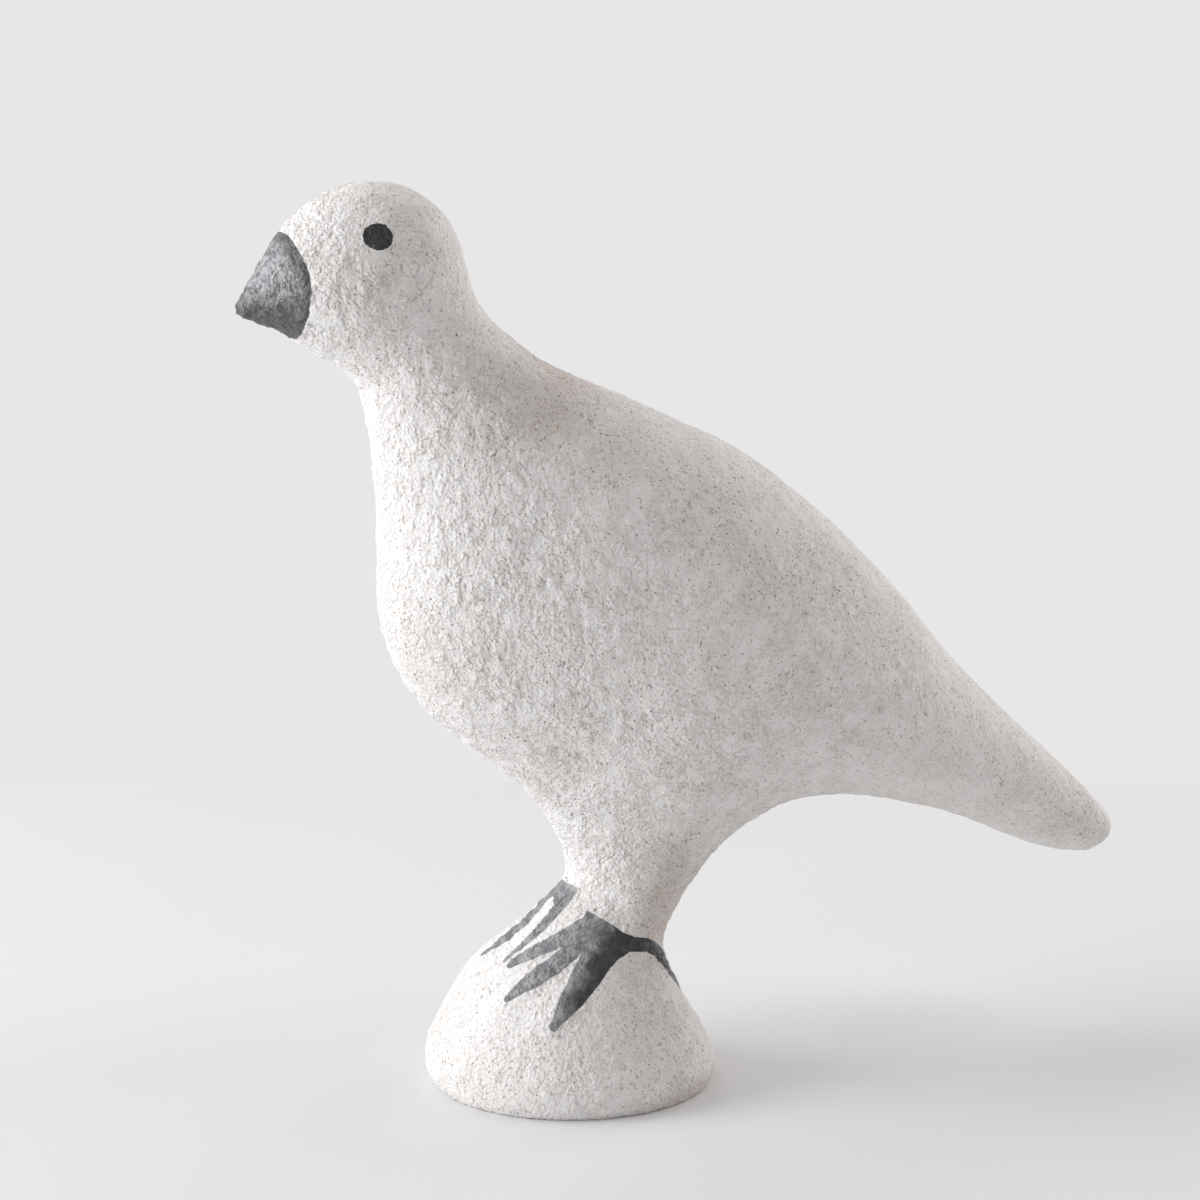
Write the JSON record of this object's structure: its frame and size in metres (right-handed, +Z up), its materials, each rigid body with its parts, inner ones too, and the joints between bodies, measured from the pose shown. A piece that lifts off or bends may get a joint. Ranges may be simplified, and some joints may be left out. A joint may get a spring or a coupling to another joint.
{
  "type": "papier-mache bird",
  "caption": "Papier-mache pigeon-like bird in off-white pulp with grey painted beak, eyes and feet, standing on a low domed mound.",
  "frame": {"origin": "centre of the mound's flat underside", "axes": "+Z up, the bird faces -Y, +X is the bird's left side"},
  "size_m": [0.1154, 0.3201, 0.3038],
  "materials": {
    "pulp": "matte pulp, off-white, with charcoal-grey paint on the beak, eyes and feet"
  },
  "bodies": {
    "root": {"bird": "pulp"}
  },
  "joints": []
}
